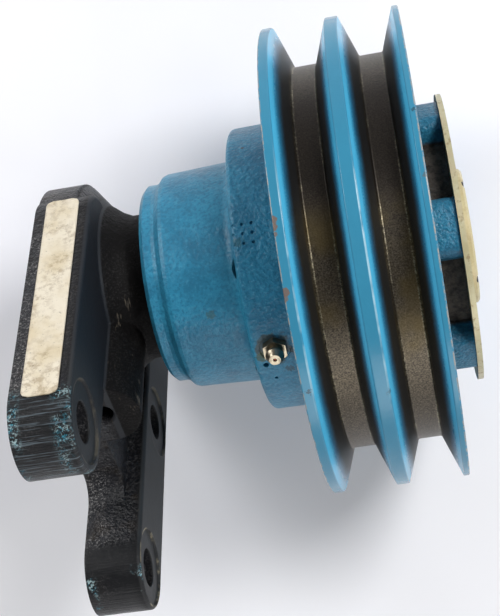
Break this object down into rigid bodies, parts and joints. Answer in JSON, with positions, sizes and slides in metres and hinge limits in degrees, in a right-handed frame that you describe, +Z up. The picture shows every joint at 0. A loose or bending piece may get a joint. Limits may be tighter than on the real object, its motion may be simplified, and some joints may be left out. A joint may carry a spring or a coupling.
{
  "type": "engine fan drive",
  "caption": "Belt-driven engine fan drive: grooved V-belt sheave on a cast journal bracket, with an air-released clutch that carries a lobed fan hub, pilot plate and pilot.",
  "frame": {"origin": "where the shaft axis meets the bracket's mounting face", "axes": "+X along the shaft, from the mounting face towards the fan; +Z up in the pose in which it lies, with the bracket's arms reaching to -Y and the label pad facing up and to +Y"},
  "size_m": [0.1563, 0.2081, 0.1874],
  "materials": {
    "black_paint": "satin",
    "label_stock": "matte",
    "ground_steel": "ground",
    "bearing_steel": "polished",
    "cage_brass": "satin",
    "blue_paint": "semi-gloss over a casting",
    "sheave_finish": "painted rims, bare grooves",
    "zinc_yellow": "yellow zinc plate",
    "seal_rubber": "matte",
    "lining_stock": "matte",
    "machined_iron": "machined",
    "screw_steel": "black oxide",
    "spring_steel": "drawn wire",
    "fitting_steel": "plated, tarnished"
  },
  "bodies": {
    "bracket": {"bracket_casting": "black_paint", "label_plate": "label_stock", "spindle": "ground_steel", "rear_bearing_inner": "bearing_steel", "front_bearing_inner": "bearing_steel", "fan_bearing_inner": "bearing_steel", "bearing_spacer": "ground_steel", "tab_washer": "spring_steel", "spindle_nut": "screw_steel", "nose_spacer": "ground_steel", "nose_snap_ring": "spring_steel"},
    "sheave_rotor": {"hub": "blue_paint", "hub_snap_ring": "spring_steel", "rear_seal_case": "spring_steel", "rear_seal_lip": "seal_rubber", "rear_bearing_outer": "bearing_steel", "front_bearing_outer": "bearing_steel", "sheave": "sheave_finish", "clamp_screws": "screw_steel", "grease_fitting": "fitting_steel", "grease_check_spring": "spring_steel"},
    "fan_drive": {"fan_hub": "blue_paint", "fan_bearing_outer": "bearing_steel", "fan_bearing_snap_ring": "spring_steel", "air_seal": "seal_rubber", "pilot_plate": "zinc_yellow", "pilot_cap": "zinc_yellow", "cap_seal": "seal_rubber", "cap_screws": "screw_steel", "drive_pins": "ground_steel", "release_ring": "machined_iron", "release_seal": "seal_rubber", "clutch_springs": "spring_steel"},
    "clutch_piston": {"piston": "machined_iron", "piston_seal": "seal_rubber", "friction_lining": "lining_stock"},
    "rear_cage": {"rear_bearing_balls": "bearing_steel", "rear_bearing_cage": "cage_brass"},
    "front_cage": {"front_bearing_balls": "bearing_steel", "front_bearing_cage": "cage_brass"},
    "fan_cage": {"fan_bearing_balls": "bearing_steel", "fan_bearing_cage": "cage_brass"},
    "check_ball": {"grease_check_ball": "fitting_steel"}
  },
  "joints": [
    {"name": "sheave_spin", "type": "hinge", "parent": "bracket", "child": "sheave_rotor", "pos_m": [0.0785, 0, 0], "axis": [1, 0, 0], "continuous": true},
    {"name": "fan_spin", "type": "hinge", "parent": "bracket", "child": "fan_drive", "pos_m": [0.1315, 0, 0], "axis": [1, 0, 0], "continuous": true},
    {"name": "piston_slide", "type": "slide", "parent": "fan_drive", "child": "clutch_piston", "axis": [1, 0, 0], "range_m": [0, 0.0015], "stiffness_N_per_m": 40000, "springref_m": -0.02, "deforming": ["clutch_springs"]},
    {"name": "rear_cage_spin", "type": "hinge", "parent": "bracket", "child": "rear_cage", "pos_m": [0.0565, 0, 0], "axis": [1, 0, 0], "continuous": true},
    {"name": "front_cage_spin", "type": "hinge", "parent": "bracket", "child": "front_cage", "pos_m": [0.1005, 0, 0], "axis": [1, 0, 0], "continuous": true},
    {"name": "fan_cage_spin", "type": "hinge", "parent": "bracket", "child": "fan_cage", "pos_m": [0.1315, 0, 0], "axis": [1, 0, 0], "continuous": true},
    {"name": "check_ball_slide", "type": "slide", "parent": "sheave_rotor", "child": "check_ball", "axis": [0, 0.5476, -0.8368], "range_m": [0, 0.001], "stiffness_N_per_m": 300, "springref_m": -0.001, "deforming": ["grease_check_spring"]}
  ],
  "couplings": [
    {"joint": "rear_cage_spin", "follows": "sheave_spin", "ratio": 0.6028},
    {"joint": "front_cage_spin", "follows": "sheave_spin", "ratio": 0.6028},
    {"joint": "fan_cage_spin", "follows": "fan_spin", "ratio": 0.6026}
  ]
}
